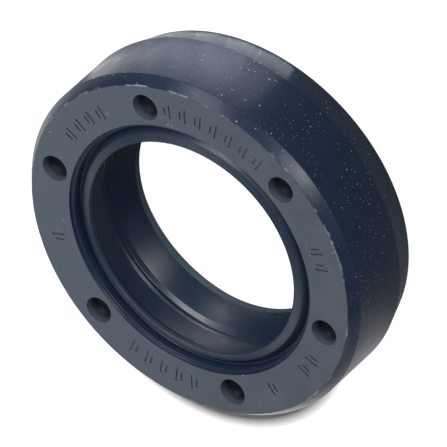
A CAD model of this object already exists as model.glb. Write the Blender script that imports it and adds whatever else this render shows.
"""Radial shaft seal: rubber body with two lips, steel stiffening ring and wound garter spring."""

from math import atan2, ceil, cos, degrees, pi, radians, sin, tan
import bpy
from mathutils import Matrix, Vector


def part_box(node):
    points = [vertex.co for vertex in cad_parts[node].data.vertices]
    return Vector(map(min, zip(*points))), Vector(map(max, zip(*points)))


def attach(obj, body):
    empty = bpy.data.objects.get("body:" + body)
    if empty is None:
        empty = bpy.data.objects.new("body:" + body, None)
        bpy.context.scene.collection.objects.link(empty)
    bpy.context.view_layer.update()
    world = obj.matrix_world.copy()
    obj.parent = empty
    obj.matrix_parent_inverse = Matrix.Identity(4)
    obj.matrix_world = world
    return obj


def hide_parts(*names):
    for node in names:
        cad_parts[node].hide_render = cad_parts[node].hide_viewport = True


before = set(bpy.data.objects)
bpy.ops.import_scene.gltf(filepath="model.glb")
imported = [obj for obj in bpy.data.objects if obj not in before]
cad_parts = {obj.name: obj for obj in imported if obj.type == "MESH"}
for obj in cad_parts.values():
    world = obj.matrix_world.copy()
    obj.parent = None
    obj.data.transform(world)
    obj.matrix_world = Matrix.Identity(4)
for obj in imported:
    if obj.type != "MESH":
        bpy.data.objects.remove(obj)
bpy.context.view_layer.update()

from types import SimpleNamespace

import bmesh
import bpy
from bpy.props import FloatProperty, FloatVectorProperty, IntProperty, PointerProperty
from mathutils import Matrix, Vector

bl_info = {
    "name": "Radial Shaft Seal",
    "version": (1, 0, 0),
    "blender": (4, 5, 0),
    "location": "View3D > Sidebar > Shaft Seal",
    "description": "Builds a radial shaft seal: rubber body, steel ring, wound spring and stage",
    "category": "Object",
}

MM = 0.001
BODY_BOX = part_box("rubber_body")
STEEL_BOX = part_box("steel_insert")
SPRING_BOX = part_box("garter_spring")

# The tally marks: where the middle of each group lies round the face, and its number of marks
GROUP_ANGLES = (29.4, 90.9, 139.4, 161.9, 211.4, 271.4, 331.4)
GROUP_MARK_COUNTS = (1, 5, 1, 2, 2, 7, 4)

# Pieces are drawn in millimetres and brought to metres when they are finished. Corners closer
# than the first distance are merged, and a corner is found again within the second.
JOIN_DISTANCE = 0.0005
PICK_DISTANCE = 0.0002

# Roundings are drawn with at most this many degrees between one corner and the next
ROUNDING_STEP = 18
GROOVE_STEPS = 20
DIMPLE_STEPS = 48
MOUTH_STEPS = 4
STROKE_END_STEPS = 4

# A dimple narrows to this share of its radius at the floor. Its rounded mouth ends at this angle,
# and above it the cutter widens by this share of the mouth's rounding.
DIMPLE_NARROWING = 0.86
MOUTH_END = 0.62 * pi
MOUTH_FLARE = 0.3

# Shares of a tally stroke's width: rounding of its ends, and how much it narrows with depth
STROKE_END = 0.45
STROKE_TAPER = 0.4


# ---------------------------------------------------------------------------------------------
# Settings
# ---------------------------------------------------------------------------------------------

def length(name, millimetres, description):
    """A length that the user may change, given in millimetres and kept in metres."""
    return FloatProperty(
        name=name, description=description, default=millimetres * MM, min=0.0, precision=6, unit="LENGTH"
    )


def colour(name, value, description):
    return FloatVectorProperty(
        name=name, description=description, default=value, size=3, min=0.0, max=1.0, subtype="COLOR"
    )


def count(name, value, least, description):
    return IntProperty(name=name, description=description, default=value, min=least)


def share(name, value, description):
    return FloatProperty(
        name=name, description=description, default=value, min=0.0, max=1.0, subtype="FACTOR"
    )


def turn(name, value, description):
    return FloatProperty(name=name, description=description, default=radians(value), subtype="ANGLE")


class SealBodySettings(bpy.types.PropertyGroup):
    """Section of the rubber body. Heights are measured from the oil-side end."""

    steps: count("Steps round", 240, 24, "Flat steps round the seal")
    seat_radius: length("Seat radius", BODY_BOX[1].x / MM, "Outside, pressed into the housing")
    width: length("Width", BODY_BOX[1].z / MM, "Along the shaft axis")
    shaft_radius: length("Shaft radius", 7.5, "Shaft that the lips run on")
    chamfer_run: length("Chamfer run", 0.48, "Radial width of the chamfer round the face")
    chamfer_depth: length("Chamfer depth", 0.68, "Axial length of the chamfer round the face")
    lead_in_run: length("Lead-in run", 0.68, "Radial fall of the taper at the oil side")
    lead_in_length: length("Lead-in length", 2.1, "Axial length of the taper at the oil side")
    end_edge: length("End edge", 0.3, "Rounding where the taper meets the end")
    face_gap: length("Face gap", 1.27, "From the shaft to the face's inner edge")
    step_depth: length("Step depth", 0.22, "Small step inside the face, along the axis")
    step_width: length("Step width", 0.22, "Small step inside the face, radially")
    groove_depth: length("Groove depth", 0.8, "Groove beside the dust lip, below the face")
    groove_draft: length("Groove draft", 0.05, "Lean of each wall of the groove")
    groove_floor: length("Groove floor", 0.2, "Width of the groove's floor")
    dust_interference: length("Dust lip squeeze", 0.07, "Radial squeeze of the dust lip on the shaft")
    dust_tip_drop: length("Dust tip drop", 0.2, "The dust lip's tip lies this far behind the face")
    dust_tip_width: length("Dust tip width", 0.56, "Radial width of the dust lip's tip")
    dust_tip_slope: length("Dust tip slope", 0.18, "Axial fall of the tip away from the shaft")
    dust_land: length("Dust land", 0.3, "Land of the dust lip on the shaft")
    dust_flank_length: length("Dust flank length", 0.45, "Flank under the land, along the axis")
    dust_flank_run: length("Dust flank run", 0.45, "Flank under the land, outwards")
    dust_tip_edge: length("Dust tip edge", 0.06, "Rounding of the dust lip's tip")
    grease_space: length("Grease space", 0.8, "From the shaft to the membrane")
    grease_shoulder: length("Grease shoulder", 0.4, "Cone between the dust lip and the membrane")
    shoulder_edge: length("Shoulder edge", 0.4, "Rounding between that cone and the membrane")
    membrane: length("Membrane", 0.52, "Thickness of the wall that carries the main lip")
    ridge_height: length("Ridge height", 0.15, "Ridge round the inside of the membrane")
    ridge_position: length("Ridge position", 2.58, "Ridge above the sealing edge")
    relief_drop: length("Relief drop", 0.3, "Relief groove below the ridge")
    relief_depth: length("Relief depth", 0.08, "Depth of the relief groove")
    lip_interference: length("Main lip squeeze", 0.09, "Radial squeeze of the main lip on the shaft")
    lip_height: length("Lip height", 1.45, "Sealing edge above the oil-side end")
    lip_land: length("Lip land", 0.45, "Trimmed land that bears on the shaft")
    air_cone_run: length("Air cone run", 0.62, "Flank towards the air side, outwards")
    air_cone_length: length("Air cone length", 1.6, "Flank towards the air side, along the axis")
    oil_cone_angle: turn("Oil cone angle", 45.0, "Flank towards the oil side, from the axis")
    nose_depth: length("Nose depth", 0.5, "Lip's nose below the sealing edge")
    soft_edge: length("Soft edge", 0.1, "Rounding of the moulded edges inside")
    crisp_edge: length("Crisp edge", 0.04, "Rounding of the edges that the mould closes on")
    trimmed_edge: length("Trimmed edge", 0.015, "Rounding of the trimmed land's edges")
    spring_clearance: length("Spring clearance", 0.02, "Room round the coil in its groove")
    horn_angle: turn("Horn angle", 10.0, "The spring groove stops short of a half circle by this")
    horn_width: length("Horn width", 0.28, "Rubber beside the spring groove")
    flange_bite: length("Flange bite", 0.3, "Rubber between the membrane and the steel flange")
    root_thickness: length("Root thickness", 0.3, "Rubber that wraps the back of the flange")
    bond_gap: length("Bond gap", 0.004, "Gap drawn between the rubber and the steel inside it")


class SealMarkSettings(bpy.types.PropertyGroup):
    """Blind dimples and shallow tally marks in the air-side face."""

    dimple_count: count("Dimples", 6, 1, "Blind dimples round the face")
    dimple_rim: length("Dimple rim", 0.5, "Flat face left on each side of a dimple")
    dimple_depth: length("Dimple depth", 0.78, "Depth of a dimple")
    dimple_bottom: length("Dimple bottom", 0.6, "Rounding at the bottom of a dimple")
    dimple_mouth: length("Dimple mouth", 0.03, "Rounding of a dimple's mouth")
    dimple_inset: length("Dimple inset", 0.14, "Dimple circle inside the middle of the face")
    mark_length: length("Mark length", 1.0, "Long stroke of a tally mark")
    mark_short_length: length("Short mark length", 0.62, "Short stroke of a tally mark")
    mark_width: length("Mark width", 0.16, "Width of a stroke")
    mark_depth: length("Mark depth", 0.06, "Depth of a stroke")
    mark_spacing: length("Mark spacing", 0.36, "Between the two strokes of a mark")
    mark_pitch: turn("Mark pitch", 6.4, "From one mark to the next")


class SealSteelSettings(bpy.types.PropertyGroup):
    """L-section stiffening ring."""

    steps: count("Steps round", 192, 24, "Flat steps round the ring")
    thickness: length("Sheet", 0.6, "Thickness of the steel sheet")
    bend: length("Bend radius", 0.25, "Inside of the bend")
    edge: length("Sheared edge", 0.03, "Rounding of the sheared edges")


class SealSpringSettings(bpy.types.PropertyGroup):
    """Garter spring: a close-wound coil closed into a ring."""

    wire_radius: length("Wire radius", 0.095, "Radius of the wire")
    gap: length("Turn gap", 0.008, "Gap between one turn and the next")
    turn_steps: count("Steps a turn", 16, 8, "Straight steps in one turn")
    wire_sides: count("Wire sides", 8, 5, "Flats round the wire")


class SealFinishSettings(bpy.types.PropertyGroup):
    """Colours and finishes."""

    outside: colour("Outside", (0.0062, 0.0136, 0.0315), "Moulded rubber of the outside")
    lips: colour("Lips", (0.0085, 0.0185, 0.041), "Moulded rubber of the lips and the grease space")
    chamfer: colour("Chamfer", (0.0105, 0.0195, 0.042), "Rubber on the chamfer round the face")
    hollows: colour("Hollows", (0.014, 0.022, 0.036), "Rubber inside the marks")
    dimple_wall: colour("Dimple wall", (0.043, 0.056, 0.078), "Bloomed rubber round a dimple's mouth")
    dimple_floor: colour("Dimple floor", (0.0055, 0.0085, 0.014), "Rubber deep in a dimple")
    trimmed: colour("Trimmed", (0.06, 0.09, 0.12), "Cut rubber of the main lip's land")
    face: colour("Face", (0.078, 0.094, 0.12), "Bloomed rubber of the air-side face")
    bloom: colour("Bloom", (0.016, 0.028, 0.052), "Bloomed upper side of the dust lip")
    dust: colour("Dust", (0.66, 0.66, 0.6), "Dust on the rubber")
    flash: colour("Flash", (0.19, 0.21, 0.215), "Torn flash along the face's outer edge")
    steel: colour("Steel", (0.2, 0.195, 0.185), "Phosphated steel ring")
    wire: colour("Wire", (0.55, 0.53, 0.5), "Drawn spring wire")
    face_roughness: share("Face roughness", 0.62, "Roughness of the face")
    seat_roughness: share("Seat roughness", 0.35, "Roughness of the outside")
    lip_roughness: share("Lip roughness", 0.33, "Roughness of the lips and the grease space")


class SealStageSettings(bpy.types.PropertyGroup):
    """Floor, surroundings and camera."""

    view_azimuth: turn("View azimuth", -114.24, "Where the camera stands round the axis, from +X")
    view_elevation: turn("View elevation", 40.78, "How far above the seal the camera stands")
    view_roll: turn("View roll", -132.24, "Turn of the camera about its line of sight")
    view_distance: length("View distance", 1015.93, "From the aim point to the camera")
    view_lens: FloatProperty(
        name="Lens", description="Focal length in millimetres", default=1354.43, unit="CAMERA"
    )
    floor_side: length("Floor side", 1600.0, "Side of the square floor")
    floor: colour("Floor", (0.2, 0.2, 0.2), "Floor where it shows the seal's shadow")
    world: colour("World", (0.1, 0.1, 0.1), "Light from all round")


# The camera looks at this point, near the middle of the seal. The sensor's width is in
# millimetres, and the farthest distance that the camera sees is in metres.
VIEW_AIM = Vector((-0.168, 0.109, 3.5)) * MM
SENSOR_WIDTH = 36.0
FARTHEST_SEEN = 10.0


def millimetres(settings):
    """A group's lengths in millimetres, with its counts, angles and shares as they are."""
    values = {}
    for key in settings.__annotations__:
        value = getattr(settings, key)
        is_length = settings.bl_rna.properties[key].unit == "LENGTH"
        values[key] = value / MM if is_length else value
    return SimpleNamespace(**values)


def section_radii(body, marks):
    """Radii and heights that several pieces share, in millimetres."""
    face_outer = body.seat_radius - body.chamfer_run
    face_inner = body.shaft_radius + body.face_gap
    return SimpleNamespace(
        face_outer=face_outer,
        face_inner=face_inner,
        dimple_circle=(face_outer + face_inner) / 2 - marks.dimple_inset,
        dimple=(face_outer - face_inner) / 2 - marks.dimple_rim,
        leg_outer=STEEL_BOX[1].x / MM,
        leg_bottom=STEEL_BOX[0].z / MM,
        flange_front=STEEL_BOX[1].z / MM,
        spring=(SPRING_BOX[1].x - (SPRING_BOX[1].z - SPRING_BOX[0].z) / 2) / MM,
        spring_height=(SPRING_BOX[1].z + SPRING_BOX[0].z) / 2 / MM,
        coil=(SPRING_BOX[1].z - SPRING_BOX[0].z) / 2 / MM,
    )


# ---------------------------------------------------------------------------------------------
# Modelling steps that every piece shares
# ---------------------------------------------------------------------------------------------

def direction(azimuth, elevation):
    """Unit vector from the seal towards that azimuth and elevation, in radians."""
    return Vector((cos(elevation) * cos(azimuth), cos(elevation) * sin(azimuth), sin(elevation)))


def deselect_all():
    if bpy.context.object and bpy.context.object.mode != "OBJECT":
        bpy.ops.object.mode_set(mode="OBJECT")
    bpy.ops.object.select_all(action="DESELECT")


def make_active(piece):
    deselect_all()
    piece.select_set(True)
    bpy.context.view_layer.objects.active = piece


def select_where(kind, test):
    """In edit mode: selects the corners, edges or faces that pass the test, and nothing else."""
    mesh = bpy.context.edit_object.data
    bpy.ops.mesh.select_mode(type=kind)
    bpy.ops.mesh.select_all(action="DESELECT")
    drawn = bmesh.from_edit_mesh(mesh)
    items = {"VERT": drawn.verts, "EDGE": drawn.edges, "FACE": drawn.faces}[kind]
    passing = [item for item in items if test(item)]
    for item in passing:
        item.select_set(True)
    drawn.select_flush_mode()
    bmesh.update_edit_mesh(mesh)
    return len(passing)


def draw_outline(name, corners, closed=True):
    """A wire outline in the XZ plane. Each corner is (radius, height, rounding), in millimetres."""
    deselect_all()
    bpy.ops.mesh.primitive_plane_add(size=1, location=(0, 0, 0))
    piece = bpy.context.object
    piece.name = name
    places = [Vector((corner[0], 0, corner[1])) for corner in corners]
    bpy.ops.object.mode_set(mode="EDIT")
    bpy.ops.mesh.select_mode(type="VERT")
    bpy.ops.mesh.select_all(action="SELECT")
    bpy.ops.mesh.merge(type="CENTER")
    bpy.ops.transform.translate(value=places[0])
    for here, there in zip(places, places[1:]):
        bpy.ops.mesh.extrude_vertices_move(TRANSFORM_OT_translate={"value": there - here})
    if closed:
        ends = (places[0], places[-1])
        select_where("VERT", lambda v: min((v.co - end).length for end in ends) < PICK_DISTANCE)
        bpy.ops.mesh.edge_face_add()
    last = len(corners) if closed else len(corners) - 1
    for index in range(0 if closed else 1, last):
        if corners[index][2] > 0:
            before = places[index] - places[index - 1]
            after = places[(index + 1) % len(places)] - places[index]
            round_corner(places[index], before.angle(after), corners[index][2])
    return piece


def round_corner(place, turned, rounding):
    """Rounds one corner of the outline, so that its arc has that radius."""
    found = select_where("VERT", lambda v: (v.co - place).length < PICK_DISTANCE)
    if found != 1:
        raise RuntimeError(f"{found} corners of the outline lie at {tuple(place)}")
    bpy.ops.mesh.bevel(
        offset_type="OFFSET",
        offset=rounding * tan(turned / 2),
        segments=max(2, ceil(degrees(turned) / ROUNDING_STEP)),
        affect="VERTICES",
        clamp_overlap=False,
    )


def spin_round(steps):
    """Spins the outline about the shaft axis into a closed skin."""
    bpy.ops.mesh.select_all(action="SELECT")
    bpy.ops.mesh.spin(steps=steps, angle=2 * pi, center=(0, 0, 0), axis=(0, 0, 1))
    close_skin()


def close_skin():
    """Merges the corners that meet and turns every face outwards."""
    bpy.ops.mesh.select_all(action="SELECT")
    bpy.ops.mesh.remove_doubles(threshold=JOIN_DISTANCE)
    bpy.ops.mesh.select_all(action="SELECT")
    bpy.ops.mesh.normals_make_consistent(inside=False)


def apply_modifier(piece, kind, **values):
    """Adds a modifier to the piece, sets its values and applies it."""
    make_active(piece)
    bpy.ops.object.modifier_add(type=kind)
    modifier = piece.modifiers[-1]
    for key, value in values.items():
        setattr(modifier, key, value)
    bpy.ops.object.modifier_apply(modifier=modifier.name)


def finish_piece(piece, name, node, smooth=35):
    """Brings a piece to metres, smooths it, and puts it in the frame in its node's place."""
    make_active(piece)
    piece.name = name
    piece.data.name = name
    piece.scale = (MM, MM, MM)
    bpy.ops.object.transform_apply(location=True, rotation=True, scale=True)
    bpy.ops.object.shade_smooth_by_angle(angle=radians(smooth), keep_sharp_edges=True)
    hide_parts(node)
    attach(piece, "root")


# ---------------------------------------------------------------------------------------------
# Rubber body
# ---------------------------------------------------------------------------------------------

def arc(centre, radius, start, end, steps):
    """Corners along an arc; angles are in radians from the radial direction."""
    angles = [start + (end - start) * index / steps for index in range(steps + 1)]
    return [(centre[0] + radius * cos(a), centre[1] + radius * sin(a), 0) for a in angles]


def outside_corners(body, shared):
    """Oil-side end, taper, seat, chamfer and face."""
    return [
        (shared.leg_outer - shared.sheet, 0, body.crisp_edge),
        (body.seat_radius - body.lead_in_run, 0, body.end_edge),
        (body.seat_radius, body.lead_in_length, body.soft_edge),
        (body.seat_radius, body.width - body.chamfer_depth, body.crisp_edge),
        (shared.face_outer, body.width, body.crisp_edge),
        (shared.face_outer - shared.face_margin, body.width, 0),
        (shared.face_inner + shared.face_margin, body.width, 0),
    ]


def dust_lip_corners(body, shared):
    """Step and groove inside the face, and the dust lip."""
    step_height = body.width - body.step_depth
    floor_height = body.width - body.groove_depth
    groove_outer = shared.face_inner - body.step_width
    dust_radius = body.shaft_radius - body.dust_interference
    tip_height = body.width - body.dust_tip_drop
    land_bottom = tip_height - body.dust_land
    return [
        (shared.face_inner, body.width, body.crisp_edge),
        (shared.face_inner - body.groove_draft, step_height, body.crisp_edge),
        (groove_outer, step_height, body.crisp_edge),
        (groove_outer - body.groove_draft, floor_height, body.dust_tip_edge),
        (groove_outer - body.groove_floor, floor_height, body.dust_tip_edge),
        (dust_radius + body.dust_tip_width, tip_height - body.dust_tip_slope, body.dust_tip_edge),
        (dust_radius, tip_height, body.dust_tip_edge),
        (dust_radius, land_bottom, body.dust_tip_edge),
        (dust_radius + body.dust_flank_run, land_bottom - body.dust_flank_length, body.soft_edge),
    ]


def main_lip_corners(body):
    """Membrane with its ridge, and the main lip down to its nose."""
    dust_root = body.width - body.dust_tip_drop - body.dust_land - body.dust_flank_length
    membrane_inner = body.shaft_radius + body.grease_space
    ridge_height = body.lip_height + body.ridge_position
    lip_radius = body.shaft_radius - body.lip_interference
    land_top = body.lip_height + body.lip_land
    nose_height = body.lip_height - body.nose_depth
    return [
        (membrane_inner, dust_root - body.grease_shoulder, body.shoulder_edge),
        (membrane_inner, ridge_height + body.ridge_height, body.soft_edge),
        (membrane_inner - body.ridge_height, ridge_height, body.soft_edge),
        (membrane_inner + body.relief_depth, ridge_height - body.relief_drop, body.soft_edge),
        (lip_radius + body.air_cone_run, land_top + body.air_cone_length, body.soft_edge),
        (lip_radius, land_top, body.trimmed_edge),
        (lip_radius, body.lip_height, body.trimmed_edge),
        (lip_radius + body.nose_depth * tan(body.oil_cone_angle), nose_height, body.soft_edge),
    ]


def lip_back_corners(body, shared):
    """Spring groove, back of the membrane, and the rubber round the steel flange."""
    groove = shared.coil + body.spring_clearance
    membrane_outer = body.shaft_radius + body.grease_space + body.membrane
    edge_radius = shared.spring - groove * sin(body.horn_angle)
    high_edge = shared.spring_height + groove * cos(body.horn_angle)
    relief_height = body.lip_height + body.ridge_position - body.relief_drop
    flange_back = shared.flange_front - shared.sheet
    flange_inner = membrane_outer + body.flange_bite
    root_back = flange_back - body.root_thickness
    root_end = (flange_inner + shared.leg_outer - shared.sheet - shared.bend) / 2
    first = 1.5 * pi - body.horn_angle
    last = 0.5 * pi + body.horn_angle
    gap = body.bond_gap
    return [
        (edge_radius, body.lip_height - body.nose_depth, body.crisp_edge),
        *arc((shared.spring, shared.spring_height), groove, first, last, GROOVE_STEPS),
        (edge_radius, high_edge + body.horn_width, body.soft_edge / 2),
        (membrane_outer, relief_height, body.soft_edge),
        (membrane_outer, root_back, body.soft_edge),
        (root_end, root_back, body.soft_edge / 2),
        (root_end, flange_back - gap, 0),
        (flange_inner - gap, flange_back - gap, 0),
        (flange_inner - gap, shared.flange_front + gap, 0),
        (shared.leg_outer + gap, shared.flange_front + gap, shared.bend + shared.sheet),
        (shared.leg_outer + gap, shared.leg_bottom - gap, 0),
        (shared.leg_outer - shared.sheet, shared.leg_bottom - gap, 0),
    ]


def dimple_cutter(marks, radii, width):
    """One round-bottomed cutter for each dimple, all in one object."""
    floor = width - marks.dimple_depth
    above = width + marks.dimple_mouth
    mouth = arc(
        (radii.dimple + marks.dimple_mouth, width - marks.dimple_mouth),
        marks.dimple_mouth, pi, MOUTH_END, MOUTH_STEPS,
    )
    corners = [
        (0, floor, 0),
        (radii.dimple * DIMPLE_NARROWING, floor, marks.dimple_bottom),
        *mouth,
        (mouth[-1][0] + MOUTH_FLARE * marks.dimple_mouth, above, 0),
        (0, above, 0),
    ]
    cutter = draw_outline("dimple_cutter", corners, closed=False)
    spin_round(DIMPLE_STEPS)
    bpy.ops.transform.translate(value=(radii.dimple_circle, 0, 0))
    for _ in range(marks.dimple_count - 1):
        bpy.ops.mesh.duplicate()
        bpy.ops.transform.rotate(
            value=2 * pi / marks.dimple_count, orient_axis="Z", center_override=(0, 0, 0)
        )
    bpy.ops.object.mode_set(mode="OBJECT")
    return cutter


def tally_strokes(marks):
    """Angle, offset from the radius and length of each stroke; two strokes stand for one mark."""
    strokes = []
    for group_angle, mark_count in zip(GROUP_ANGLES, GROUP_MARK_COUNTS):
        first_angle = radians(group_angle) - marks.mark_pitch * (mark_count - 1) / 2
        for index in range(mark_count):
            angle = first_angle + index * marks.mark_pitch
            strokes.append((angle, -marks.mark_spacing / 2, marks.mark_length))
            strokes.append((angle, marks.mark_spacing / 2, marks.mark_short_length))
    return strokes


def stroke_cutter(marks, place, stroke_length):
    """A tapered, round-ended cutter for one stroke."""
    bpy.ops.mesh.primitive_cube_add(
        size=1, location=place, scale=(stroke_length, marks.mark_width, 2 * marks.mark_depth)
    )
    piece = bpy.context.object
    bpy.ops.object.transform_apply(location=True, rotation=True, scale=True)
    bpy.ops.object.mode_set(mode="EDIT")
    select_where("EDGE", lambda e: abs(e.verts[0].co.z - e.verts[1].co.z) > marks.mark_depth)
    bpy.ops.mesh.bevel(
        offset=STROKE_END * marks.mark_width, segments=STROKE_END_STEPS, affect="EDGES"
    )
    select_where("FACE", lambda f: f.normal.z < -0.9)
    shorter = 1 - STROKE_TAPER * marks.mark_width / stroke_length
    bpy.ops.transform.resize(value=(shorter, 1 - STROKE_TAPER, 1), center_override=place)
    bpy.ops.object.mode_set(mode="OBJECT")
    return piece


def mark_cutter(marks, radii, width):
    """The cutters of all strokes, each turned to its place round the face, in one object."""
    pieces = []
    for angle, offset, stroke_length in tally_strokes(marks):
        deselect_all()
        piece = stroke_cutter(marks, (radii.dimple_circle, offset, width), stroke_length)
        piece.rotation_euler = (0, 0, angle)
        bpy.ops.object.transform_apply(location=True, rotation=True, scale=True)
        pieces.append(piece)
    deselect_all()
    for piece in pieces:
        piece.select_set(True)
    bpy.context.view_layer.objects.active = pieces[0]
    bpy.ops.object.join()
    return pieces[0]


def cut_away(piece, cutter):
    """Cuts the cutter's form out of the piece and drops the cutter."""
    apply_modifier(piece, "BOOLEAN", operation="DIFFERENCE", solver="EXACT", object=cutter)
    bpy.data.objects.remove(cutter)


def sharpen_face(piece, width):
    """Marks the edges of the flat air-side face sharp, so that its shading stays flat."""
    lowest = width - 2 * JOIN_DISTANCE
    make_active(piece)
    bpy.ops.object.mode_set(mode="EDIT")
    select_where("FACE", lambda f: f.normal.z > 0.999 and f.calc_center_median().z > lowest)
    bpy.ops.mesh.region_to_loop()
    bpy.ops.mesh.mark_sharp()
    bpy.ops.object.mode_set(mode="OBJECT")


class SEAL_OT_rubber_body(bpy.types.Operator):
    """Draws the section of the rubber body, spins it, and cuts the dimples and marks in its face"""

    bl_idname = "seal.rubber_body"
    bl_label = "Rubber Body"
    bl_options = {"REGISTER", "UNDO"}

    def execute(self, context):
        body = millimetres(context.scene.seal_body)
        marks = millimetres(context.scene.seal_marks)
        steel = millimetres(context.scene.seal_steel)
        shared = section_radii(body, marks)
        shared.sheet = steel.thickness
        shared.bend = steel.bend
        shared.face_margin = 2 * body.crisp_edge
        corners = [
            *outside_corners(body, shared),
            *dust_lip_corners(body, shared),
            *main_lip_corners(body),
            *lip_back_corners(body, shared),
        ]
        piece = draw_outline("rubber", corners)
        spin_round(body.steps)
        bpy.ops.object.mode_set(mode="OBJECT")
        cut_away(piece, dimple_cutter(marks, shared, body.width))
        cut_away(piece, mark_cutter(marks, shared, body.width))
        sharpen_face(piece, body.width)
        finish_piece(piece, "seal_body", "rubber_body")
        dress_body(piece, context.scene.seal_body, marks, shared, context.scene.seal_finish)
        return {"FINISHED"}


# ---------------------------------------------------------------------------------------------
# Steel ring and garter spring
# ---------------------------------------------------------------------------------------------

class SEAL_OT_steel_ring(bpy.types.Operator):
    """Draws the L section of the stiffening ring and spins it"""

    bl_idname = "seal.steel_ring"
    bl_label = "Steel Ring"
    bl_options = {"REGISTER", "UNDO"}

    def execute(self, context):
        body = millimetres(context.scene.seal_body)
        steel = millimetres(context.scene.seal_steel)
        shared = section_radii(body, millimetres(context.scene.seal_marks))
        bore = body.shaft_radius + body.grease_space + body.membrane + body.flange_bite
        leg_inner = shared.leg_outer - steel.thickness
        flange_back = shared.flange_front - steel.thickness
        corners = [
            (bore, flange_back, steel.edge),
            (leg_inner, flange_back, steel.bend),
            (leg_inner, shared.leg_bottom, steel.edge),
            (shared.leg_outer, shared.leg_bottom, steel.edge),
            (shared.leg_outer, shared.flange_front, steel.bend + steel.thickness),
            (bore, shared.flange_front, steel.edge),
        ]
        piece = draw_outline("steel", corners)
        spin_round(steel.steps)
        bpy.ops.object.mode_set(mode="OBJECT")
        finish_piece(piece, "steel_ring", "steel_insert")
        dress(piece, [steel_material(context.scene.seal_finish)])
        return {"FINISHED"}


class SEAL_OT_garter_spring(bpy.types.Operator):
    """Winds the garter spring as a straight close coil and bends it into a ring"""

    bl_idname = "seal.garter_spring"
    bl_label = "Garter Spring"
    bl_options = {"REGISTER", "UNDO"}

    def execute(self, context):
        spring = millimetres(context.scene.seal_spring)
        body = millimetres(context.scene.seal_body)
        shared = section_radii(body, millimetres(context.scene.seal_marks))
        ring_length = 2 * pi * shared.spring
        turns = int(ring_length / (2 * spring.wire_radius + spring.gap))
        deselect_all()
        bpy.ops.mesh.primitive_circle_add(
            vertices=spring.wire_sides,
            radius=spring.wire_radius,
            location=(0, 0, shared.coil - spring.wire_radius),
            rotation=(pi / 2, 0, 0),
        )
        piece = bpy.context.object
        bpy.ops.object.transform_apply(location=True, rotation=True, scale=True)
        wind_coil(piece, turns, ring_length / turns, spring.turn_steps)
        close_ring(piece, ring_length, shared)
        finish_piece(piece, "wound_spring", "garter_spring", smooth=60)
        dress(piece, [wire_material(context.scene.seal_finish)])
        return {"FINISHED"}


def wind_coil(piece, turns, pitch, steps):
    """Winds the wire's section about the X axis into a straight coil."""
    apply_modifier(
        piece, "SCREW", axis="X", angle=2 * pi, screw_offset=pitch,
        iterations=turns, steps=steps, render_steps=steps,
    )


def close_ring(piece, ring_length, shared):
    """Bends the straight coil round the shaft axis until its ends meet, and merges them."""
    whole_turn = 2 * pi * piece.dimensions.x / ring_length
    apply_modifier(piece, "SIMPLE_DEFORM", deform_method="BEND", deform_axis="Z", angle=whole_turn)
    piece.location = (0, -shared.spring, shared.spring_height)
    bpy.ops.object.transform_apply(location=True, rotation=True, scale=True)
    bpy.ops.object.mode_set(mode="EDIT")
    close_skin()
    bpy.ops.object.mode_set(mode="OBJECT")


# ---------------------------------------------------------------------------------------------
# Finishes
# ---------------------------------------------------------------------------------------------

# Sizes of the uneven places in each finish, in millimetres
COLOUR_CLOUD = 2.2
GLOSS_CLOUD = 0.9
DUST_CLOUD = 2.5
FLASH_RAG = 0.22
FLASH_CLOUD = 0.9
STEEL_MOTTLE = 0.35
STEEL_GRAIN = 0.06
WIRE_STREAK = 0.12

# The rubber's darkest and lightest clouds against its own colour, and how far its roughness strays
DARK_CLOUD = 0.92
LIGHT_CLOUD = 1.1
ROUGHNESS_SPREAD = 0.04

# Dust in its thinnest and thickest places against a finish's own share of it. A speck is solid
# within that share of its size, and a higher fading makes more of the specks faint.
THIN_DUST = 0.3
THICK_DUST = 1.5
SPECK_CORE = 0.6
SPECK_FADING = 1.8

# Layers of dust: size of the cells that hold one speck at most and size of a speck, both in
# millimetres, and the stretch along each axis, which turns specks into short lint
DUST_LAYERS = (
    (0.17, 0.02, (1.0, 1.0, 1.0)),
    (0.38, 0.03, (1.0, 1.0, 1.0)),
    (0.36, 0.024, (0.3, 1.0, 1.0)),
    (0.36, 0.024, (1.0, 1.0, 0.3)),
    (0.36, 0.024, (1.0, 0.3, 1.0)),
)

# Torn flash along the face's outer edge, in millimetres: depths below the face where it begins
# and is full, and how far it reaches where it is narrowest and widest
FLASH_DEPTHS = (0.088, 0.044)
FLASH_WIDTHS = (0.0165, 0.0715)

# Where a bloom begins and where it is full, in millimetres: depths below the face, distances
# from the shaft axis, and places along the line through the axis at that azimuth
LIP_BLOOM_DEPTHS = (0.9, 0.45)
LIP_BLOOM_RADII = (8.2, 8.02)
DIMPLE_BLOOM_DEPTHS = (0.6, 0.28)
DIMPLE_BLOOM_FADING = 1.4
FACE_BLOOM_AZIMUTH = 20
FACE_BLOOM_PLACES = (-6, 11)
FACE_BLOOM_GAIN = 1.17


def new_material(name):
    """An empty node material and its tree."""
    material = bpy.data.materials.new(name)
    material.use_nodes = True
    material.node_tree.nodes.clear()
    return material, material.node_tree


def add_node(tree, kind, inputs=None, **values):
    """Adds a shader node. Each input is a plain value, or a socket to link from."""
    node = tree.nodes.new("ShaderNode" + kind)
    for key, value in values.items():
        setattr(node, key, value)
    for key, value in (inputs or {}).items():
        if isinstance(value, bpy.types.NodeSocket):
            tree.links.new(value, node.inputs[key])
        else:
            node.inputs[key].default_value = value
    return node


def object_place(tree):
    return add_node(tree, "TexCoord").outputs["Object"]


def grain(tree, place, size, detail=3.0):
    """Noise from 0 to 1 whose features are about that size, in millimetres."""
    noise = add_node(tree, "TexNoise", {"Vector": place, "Scale": 1 / (size * MM), "Detail": detail})
    return noise.outputs["Fac"]


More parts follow.
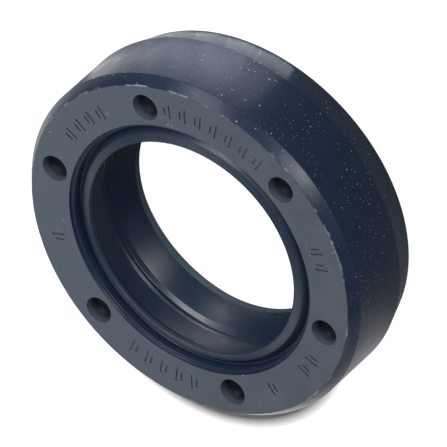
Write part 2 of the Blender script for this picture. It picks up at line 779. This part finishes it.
def remap(tree, value, low, high, to_low=0.0, to_high=1.0):
    """Goes from to_low to to_high as the value goes from low to high, and no further."""
    inputs = {"Value": value, "From Min": low, "From Max": high, "To Min": to_low, "To Max": to_high}
    return add_node(tree, "MapRange", inputs).outputs["Result"]


def remap_span(tree, value, span, to_low=0.0, to_high=1.0):
    """As remap, for a length between the two ends of a span in millimetres."""
    return remap(tree, value, span[0] * MM, span[1] * MM, to_low, to_high)


def calculate(tree, operation, first, second):
    return add_node(tree, "Math", {0: first, 1: second}, operation=operation).outputs["Value"]


def product(tree, first, *others):
    for other in others:
        first = calculate(tree, "MULTIPLY", first, other)
    return first


def blend_colour(tree, amount, first, second):
    """Colour that goes from the first to the second as the amount goes from 0 to 1."""
    node = add_node(tree, "Mix", {"Factor": amount}, data_type="RGBA")
    for socket, value in (("A_Color", first), ("B_Color", second)):
        target = next(s for s in node.inputs if s.identifier == socket)
        if isinstance(value, bpy.types.NodeSocket):
            tree.links.new(value, target)
        else:
            target.default_value = (*value, 1.0)
    return next(s for s in node.outputs if s.identifier == "Result_Color")


def toned(colour_value, gain):
    """A colour made lighter or darker by that factor."""
    return tuple(gain * part for part in colour_value)


def distance_from_axis(tree, place):
    flat = add_node(tree, "VectorMath", {0: place, 1: (1, 1, 0)}, operation="MULTIPLY")
    across = add_node(tree, "VectorMath", {0: flat.outputs["Vector"]}, operation="LENGTH")
    return across.outputs["Value"]


def distance_along(tree, place, azimuth):
    """How far a place lies from the shaft axis towards that azimuth, given in degrees."""
    towards = direction(radians(azimuth), 0)
    node = add_node(tree, "VectorMath", {0: place, 1: towards}, operation="DOT_PRODUCT")
    return node.outputs["Value"]


def depth_below_face(tree, place):
    height = add_node(tree, "SeparateXYZ", {"Vector": place}).outputs["Z"]
    return calculate(tree, "SUBTRACT", BODY_BOX[1].z, height)


def specks(tree, place, cell, size, kept, stretch):
    """Scattered specks: one in each cell of that size at most, and only that share of them kept."""
    moved = add_node(tree, "Mapping", {"Vector": place, "Scale": stretch}).outputs["Vector"]
    cells = add_node(tree, "TexVoronoi", {"Vector": moved, "Scale": 1 / (cell * MM)})
    inside = remap(tree, cells.outputs["Distance"], size / cell, SPECK_CORE * size / cell)
    parts = add_node(tree, "SeparateColor", {"Color": cells.outputs["Color"]})
    chosen = calculate(tree, "LESS_THAN", parts.outputs["Red"], kept)
    strength = calculate(tree, "POWER", parts.outputs["Green"], SPECK_FADING)
    return product(tree, inside, chosen, strength)


def dusting(tree, place, amount):
    """Fine dust, a few coarser specks, and short lint in three directions, thicker in places."""
    clouds = grain(tree, place, DUST_CLOUD, 2.0)
    thicker = remap(tree, clouds, 0.4, 0.62, THIN_DUST * amount, THICK_DUST * amount)
    total = 0.0
    for cell, size, stretch in DUST_LAYERS:
        total = calculate(tree, "MAXIMUM", total, specks(tree, place, cell, size, thicker, stretch))
    return total


def grain_bump(tree, height, depth):
    """Normal of a surface whose height, from 0 to 1, stands for that depth in millimetres."""
    return add_node(tree, "Bump", {"Height": height, "Distance": depth * MM}).outputs["Normal"]


def close_material(tree, shader):
    add_node(tree, "OutputMaterial", {"Surface": shader})


def torn_edge(tree, place, radius):
    """Ragged flash round a circle of that radius, in metres, at the face. From 0 to 1."""
    beyond = calculate(tree, "SUBTRACT", distance_from_axis(tree, place), radius)
    away = calculate(tree, "ABSOLUTE", beyond, 0)
    near_face = remap_span(tree, depth_below_face(tree, place), FLASH_DEPTHS)
    narrow, wide = FLASH_WIDTHS
    ragged = remap(tree, grain(tree, place, FLASH_RAG), 0.35, 0.65, narrow * MM, wide * MM)
    strip = calculate(tree, "LESS_THAN", away, ragged)
    patchy = remap(tree, grain(tree, place, FLASH_CLOUD, 4.0), 0.5, 0.62)
    return product(tree, strip, near_face, patchy)


def lip_bloom(tree, place, rubber, finish):
    """The dust lip's upper side is bloomed, and the rubber below and outside it is not."""
    upper = remap_span(tree, depth_below_face(tree, place), LIP_BLOOM_DEPTHS)
    inner = remap_span(tree, distance_from_axis(tree, place), LIP_BLOOM_RADII)
    return blend_colour(tree, product(tree, upper, inner), rubber, tuple(finish.bloom))


def face_bloom(tree, place, rubber, finish):
    """The bloom on the face gets thicker towards one side."""
    towards = distance_along(tree, place, FACE_BLOOM_AZIMUTH)
    thicker = remap_span(tree, towards, FACE_BLOOM_PLACES)
    return blend_colour(tree, thicker, rubber, toned(finish.face, FACE_BLOOM_GAIN))


def dimple_bloom(tree, place, rubber, finish):
    """The bloom goes a little way down into the dimples."""
    upper = remap_span(tree, depth_below_face(tree, place), DIMPLE_BLOOM_DEPTHS)
    fading = calculate(tree, "POWER", upper, DIMPLE_BLOOM_FADING)
    return blend_colour(tree, fading, rubber, tuple(finish.dimple_wall))


def rubber_material(finish, name, base, roughness, gloss, dust, grain_size, grain_depth, bloom):
    """Moulded rubber: cloudy colour, fine mould grain, uneven gloss and a sprinkle of dust."""
    body = bpy.context.scene.seal_body
    material, tree = new_material(name)
    place = object_place(tree)
    cloud = remap(tree, grain(tree, place, COLOUR_CLOUD, 4.0), 0.3, 0.7)
    rubber = blend_colour(tree, cloud, toned(base, DARK_CLOUD), toned(base, LIGHT_CLOUD))
    if bloom:
        rubber = bloom(tree, place, rubber, finish)
    flash = torn_edge(tree, place, body.seat_radius - body.chamfer_run)
    edged = blend_colour(tree, flash, rubber, tuple(finish.flash))
    dusty = dusting(tree, place, dust)
    smoothest = roughness - ROUGHNESS_SPREAD
    roughest = roughness + ROUGHNESS_SPREAD
    uneven = remap(tree, grain(tree, place, GLOSS_CLOUD), 0.3, 0.7, smoothest, roughest)
    shader = add_node(tree, "BsdfPrincipled", {
        "Base Color": blend_colour(tree, dusty, edged, tuple(finish.dust)),
        "Roughness": calculate(tree, "MAXIMUM", uneven, dusty),
        "Specular IOR Level": gloss,
        "Normal": grain_bump(tree, grain(tree, place, grain_size, 2.0), grain_depth),
    })
    close_material(tree, shader.outputs["BSDF"])
    return material


def rubber_finishes(finish):
    """The rubber's finishes, in the order of the body's slots.

    Each has its name, colour, roughness, gloss and share of dust, then the size and the depth of
    the mould's grain in millimetres, and the bloom that lies on it.
    """
    finishes = (
        ("rubber_lips", finish.lips, finish.lip_roughness, 0.46, 0.05, 0.05, 0.001, lip_bloom),
        ("rubber_outside", finish.outside, finish.seat_roughness, 0.085, 0.8, 0.05, 0.0012, None),
        ("rubber_face", finish.face, finish.face_roughness, 0.12, 0.3, 0.06, 0.002, face_bloom),
        ("rubber_chamfer", finish.chamfer, 0.3, 0.3, 0.7, 0.05, 0.0012, None),
        ("rubber_hollows", finish.hollows, 0.5, 0.2, 0.1, 0.05, 0.001, None),
        ("rubber_trimmed", finish.trimmed, 0.45, 0.4, 0.1, 0.04, 0.003, None),
        ("rubber_dimples", finish.dimple_floor, 0.5, 0.12, 0.1, 0.05, 0.001, dimple_bloom),
    )
    return [rubber_material(finish, *values) for values in finishes]


def steel_material(finish):
    """Phosphated steel: matt, mottled grey."""
    material, tree = new_material("phosphated_steel")
    place = object_place(tree)
    mottle = remap(tree, grain(tree, place, STEEL_MOTTLE, 5.0), 0.35, 0.65)
    shader = add_node(tree, "BsdfPrincipled", {
        "Base Color": blend_colour(tree, mottle, toned(finish.steel, 0.75), tuple(finish.steel)),
        "Metallic": 0.85,
        "Roughness": remap(tree, mottle, 0, 1, 0.45, 0.6),
        "Normal": grain_bump(tree, grain(tree, place, STEEL_GRAIN, 2.0), 0.003),
    })
    close_material(tree, shader.outputs["BSDF"])
    return material


def wire_material(finish):
    """Drawn wire: semi-bright, with faint draw marks."""
    material, tree = new_material("drawn_wire")
    place = object_place(tree)
    streak = remap(tree, grain(tree, place, WIRE_STREAK), 0.3, 0.7)
    shader = add_node(tree, "BsdfPrincipled", {
        "Base Color": blend_colour(tree, streak, toned(finish.wire, 0.85), tuple(finish.wire)),
        "Metallic": 1.0,
        "Roughness": remap(tree, streak, 0, 1, 0.22, 0.34),
    })
    close_material(tree, shader.outputs["BSDF"])
    return material


def dress(piece, materials):
    """Gives the piece these materials, in the order of its slots."""
    piece.data.materials.clear()
    for material in materials:
        piece.data.materials.append(material)


def dress_body(piece, body, marks, radii, finish):
    """Each part of the rubber gets the finish that the mould, the knife or wear leaves.

    The first finish, the lips', stays on every face that no test picks for another slot.
    """
    dress(piece, rubber_finishes(finish))
    top = body.width
    face_inner = body.shaft_radius + body.face_gap
    chamfer_inner = body.seat_radius - body.chamfer_run
    step_inner = face_inner - body.step_width
    near = 0.01 * MM

    def radius(face):
        return face.calc_center_median().xy.length

    def outside(face):
        low = face.calc_center_median().z < top - body.chamfer_depth + near
        return radius(face) > chamfer_inner - near and low

    def on_face(face):
        height = face.calc_center_median().z
        step = height > top - body.step_depth - near and radius(face) > step_inner + near
        return face.normal.z > 0.9 and step and radius(face) > face_inner - near

    def on_chamfer(face):
        return radius(face) > chamfer_inner - near and not outside(face)

    def in_hollows(face):
        return face_inner + near < radius(face) < chamfer_inner - near and not on_face(face)

    def on_land(face):
        low = face.calc_center_median().z < top / 2
        return low and radius(face) < body.shaft_radius and abs(face.normal.z) < 0.5

    def in_dimples(face):
        place = face.calc_center_median()
        step = 2 * pi / marks.dimple_count
        nearest = step * round(atan2(place.y, place.x) / step)
        away = (place.xy - direction(nearest, 0).xy * radii.dimple_circle * MM).length
        return in_hollows(face) and away < (radii.dimple + 2 * marks.dimple_mouth) * MM

    make_active(piece)
    bpy.ops.object.mode_set(mode="EDIT")
    tests = (outside, on_face, on_chamfer, in_hollows, on_land, in_dimples)
    for slot_index, test in enumerate(tests, 1):
        select_where("FACE", test)
        piece.active_material_index = slot_index
        bpy.ops.object.material_slot_assign()
    bpy.ops.object.mode_set(mode="OBJECT")


# ---------------------------------------------------------------------------------------------
# Stage
# ---------------------------------------------------------------------------------------------

# Soft boxes that face the seal, all as far away in metres: azimuth and elevation in degrees,
# width and height in metres, and power in watts
SOFT_BOX_DISTANCE = 0.4
SOFT_BOXES = {
    "key": (303, 22, 0.13, 0.2, 0.5),
    "high": (295, 56, 0.14, 0.14, 0.9),
    "front": (237, 21, 0.12, 0.26, 0.95),
    "far": (128, 16, 0.2, 0.1, 0.15),
    "left": (44, 26, 0.12, 0.1, 0.055),
    "behind": (98, 40, 0.1, 0.2, 0.12),
    "low_behind": (73, 22, 0.08, 0.08, 0.05),
    "overhead": (27, 66, 0.12, 0.12, 0.09),
}

# Lamps in arcs that lie just above the floor, face up: azimuth of an arc's first lamp and step to
# the next in degrees; distance from the axis, width along the arc and depth across it in
# millimetres; and the radiance of each lamp
FLOOR_LAMP_HEIGHT = 0.1
FLOOR_LAMPS = {
    "low": (277, 13, 17.0, 3.8, 7.2, (5.5, 8.5, 5.3, 3.2, 1.8, 2.0)),
    "strip": (272, 12, 12.0, 2.6, 1.1, (3.2, 3.2, 2.1, 1.3, 1.0)),
}

# Narrow lamps in the bore: place in millimetres, azimuth and elevation that they face in degrees,
# width and height in millimetres, and radiance
BORE_LAMP_SPREAD = 80
BORE_LAMPS = {
    "wall_glow": ((1.75, 4.85, 0.7), 130, 36, 2.6, 1.2, 0.55),
    "lip_glow_right": ((5.5, -3.25, 2.9), 120, 0, 2.0, 2.6, 1.2),
    "lip_glow_left": ((-3.3, -3.8, 3.2), 56, 0, 2.0, 2.6, 1.1),
}

# Spans on the floor, in millimetres: where plain white takes over from the patch that shows the
# seal's shadow, measured from that patch's centre, and then, from the shaft axis, where the white
# floor in the bore ends and where the floor comes out from under the seal
SHADOW_CENTRE = Vector((1.9, 8.9, 0))
SHADOW_EDGE = (9.9, 10.75)
BORE_EDGE = (10.4, 9.4)
SEAL_EDGE = (9, 12)

# How the floor shines in reflections, with spans in millimetres: its side towards that azimuth
# is bright and its other side dim, a ring all round is bright too, and both fade further out to
# these shares
BRIGHT_AZIMUTH = 110
BRIGHT_SIDE = (6, 11)
DIM_SIDE = 0.19
BRIGHT_RING = (19.5, 24)
FADING = (28, 45)
FADED_SIDE = 0.5
FADED_RING = 0.3

# Light that the floor throws back on the seal, outside it and in its bore, against its own colour
BOUNCE_OUTSIDE = 2
BOUNCE_IN_BORE = 1.1


def facing(line, roll=0.0):
    """Rotation that points an object's -Z along the line, turned by roll about it."""
    return (line.to_track_quat("-Z", "Y").to_matrix() @ Matrix.Rotation(roll, 3, "Z")).to_euler()


def add_lamp(name, place, rotation, width, height, power):
    """A rectangular lamp; place and sides in metres."""
    deselect_all()
    bpy.ops.object.light_add(type="AREA", location=place, rotation=rotation)
    lamp = bpy.context.object
    lamp.name = name
    lamp.data.shape = "RECTANGLE"
    lamp.data.size = width
    lamp.data.size_y = height
    lamp.data.energy = power
    return lamp


def add_glow(name, place, rotation, width, height, radiance):
    """A small lamp of that radiance, unseen by the camera; place and sides in millimetres."""
    power = radiance * pi * width * height * MM * MM
    lamp = add_lamp(name, Vector(place) * MM, rotation, width * MM, height * MM, power)
    lamp.visible_camera = False
    return lamp


def add_lamps():
    """The soft boxes, then the lamps on the floor and those in the bore."""
    for name, (azimuth, elevation, width, height, power) in SOFT_BOXES.items():
        line = direction(radians(azimuth), radians(elevation))
        add_lamp(name, line * SOFT_BOX_DISTANCE, facing(-line), width, height, power)
    for name, (first, step, radius, width, depth, radiances) in FLOOR_LAMPS.items():
        for index, radiance in enumerate(radiances):
            azimuth = radians(first + step * index)
            place = direction(azimuth, 0) * radius + Vector((0, 0, FLOOR_LAMP_HEIGHT))
            add_glow(f"{name}_{index}", place, (pi, 0, azimuth), depth, width, radiance)
    for name, (place, azimuth, elevation, width, height, radiance) in BORE_LAMPS.items():
        line = direction(radians(azimuth), radians(elevation))
        lamp = add_glow(name, place, facing(line), width, height, radiance)
        lamp.data.spread = radians(BORE_LAMP_SPREAD)


def plain_white(tree, place, from_axis):
    """1 where the floor shows as plain white, and 0 where it shows the seal's soft shadow."""
    centre = SHADOW_CENTRE * MM
    away = add_node(tree, "VectorMath", {0: place, 1: centre}, operation="DISTANCE")
    beyond = remap_span(tree, away.outputs["Value"], SHADOW_EDGE)
    return calculate(tree, "MAXIMUM", beyond, remap_span(tree, from_axis, BORE_EDGE))


def mirrored_shine(tree, place, from_axis, outside):
    """How bright the floor is in reflections on the seal."""
    along = distance_along(tree, place, BRIGHT_AZIMUTH)
    side = remap_span(tree, along, BRIGHT_SIDE, DIM_SIDE, 1.0)
    side_fading = remap_span(tree, from_axis, FADING, 1.0, FADED_SIDE)
    ring = remap_span(tree, from_axis, BRIGHT_RING)
    ring_fading = remap_span(tree, from_axis, FADING, 1.0, FADED_RING)
    side_shine = product(tree, side, side_fading, outside)
    return calculate(tree, "MAXIMUM", side_shine, product(tree, ring, ring_fading))


def floor_material(floor_colour):
    """Pale floor that shows as plain white, but for a patch beside the seal with its shadow."""
    material, tree = new_material("pale_floor")
    place = object_place(tree)
    from_axis = distance_from_axis(tree, place)
    outside = remap_span(tree, from_axis, SEAL_EDGE)
    rays = add_node(tree, "LightPath").outputs
    to_camera = rays["Is Camera Ray"]
    in_gloss = calculate(tree, "MAXIMUM", rays["Is Glossy Ray"], rays["Is Transmission Ray"])
    white = product(tree, plain_white(tree, place, from_axis), to_camera)
    shine = product(tree, mirrored_shine(tree, place, from_axis, outside), in_gloss)
    bore_bounce = toned(floor_colour, BOUNCE_IN_BORE)
    bounced = blend_colour(tree, outside, bore_bounce, toned(floor_colour, BOUNCE_OUTSIDE))
    shown = blend_colour(tree, to_camera, bounced, floor_colour)
    matt = add_node(tree, "BsdfDiffuse", {"Color": shown})
    glow = add_node(tree, "Emission", {"Strength": calculate(tree, "ADD", white, shine)})
    both = add_node(tree, "AddShader", {0: matt.outputs["BSDF"], 1: glow.outputs["Emission"]})
    close_material(tree, both.outputs["Shader"])
    return material


class SEAL_OT_stage(bpy.types.Operator):
    """Adds the pale floor, the lamps, the world light and the camera"""

    bl_idname = "seal.stage"
    bl_label = "Stage"
    bl_options = {"REGISTER", "UNDO"}

    def execute(self, context):
        stage = context.scene.seal_stage
        deselect_all()
        bpy.ops.mesh.primitive_plane_add(size=stage.floor_side, location=(0, 0, 0))
        floor = context.object
        floor.name = "floor"
        dress(floor, [floor_material(tuple(stage.floor))])
        add_lamps()
        add_camera(stage)
        set_world(stage)
        context.scene.view_settings.view_transform = "Standard"
        return {"FINISHED"}


def add_camera(stage):
    """A long lens that looks down on the seal, turned so that the face is at the lower left."""
    line = direction(stage.view_azimuth, stage.view_elevation)
    place = VIEW_AIM + line * stage.view_distance
    deselect_all()
    bpy.ops.object.camera_add(location=place, rotation=facing(-line, stage.view_roll))
    camera = bpy.context.object
    camera.name = "camera"
    camera.data.lens = stage.view_lens
    camera.data.sensor_width = SENSOR_WIDTH
    camera.data.clip_end = FARTHEST_SEEN
    bpy.context.scene.camera = camera


def set_world(stage):
    world = bpy.data.worlds.new("soft_surroundings")
    world.use_nodes = True
    world.node_tree.nodes["Background"].inputs["Color"].default_value = (*stage.world, 1.0)
    bpy.context.scene.world = world


# ---------------------------------------------------------------------------------------------
# Panel and registration
# ---------------------------------------------------------------------------------------------

class VIEW3D_PT_seal(bpy.types.Panel):
    """Buttons for the seal's pieces and the sizes they are made to"""

    bl_label = "Radial Shaft Seal"
    bl_space_type = "VIEW_3D"
    bl_region_type = "UI"
    bl_category = "Shaft Seal"

    def draw(self, context):
        layout = self.layout
        for operator in OPERATORS:
            layout.operator(operator.bl_idname)
        for name, settings in SETTINGS.items():
            box = layout.box()
            box.label(text=settings.__doc__.split(".")[0])
            group = getattr(context.scene, name)
            for key in settings.__annotations__:
                box.prop(group, key)


OPERATORS = (SEAL_OT_rubber_body, SEAL_OT_steel_ring, SEAL_OT_garter_spring, SEAL_OT_stage)
SETTINGS = {
    "seal_body": SealBodySettings,
    "seal_marks": SealMarkSettings,
    "seal_steel": SealSteelSettings,
    "seal_spring": SealSpringSettings,
    "seal_finish": SealFinishSettings,
    "seal_stage": SealStageSettings,
}


def register():
    for new_class in (*SETTINGS.values(), *OPERATORS, VIEW3D_PT_seal):
        bpy.utils.register_class(new_class)
    for name, settings in SETTINGS.items():
        setattr(bpy.types.Scene, name, PointerProperty(type=settings))


def unregister():
    for name in SETTINGS:
        delattr(bpy.types.Scene, name)
    for old_class in (VIEW3D_PT_seal, *reversed(OPERATORS), *reversed(SETTINGS.values())):
        bpy.utils.unregister_class(old_class)


def main():
    register()
    bpy.ops.seal.rubber_body()
    bpy.ops.seal.steel_ring()
    bpy.ops.seal.garter_spring()
    bpy.ops.seal.stage()


if __name__ == "__main__":
    main()
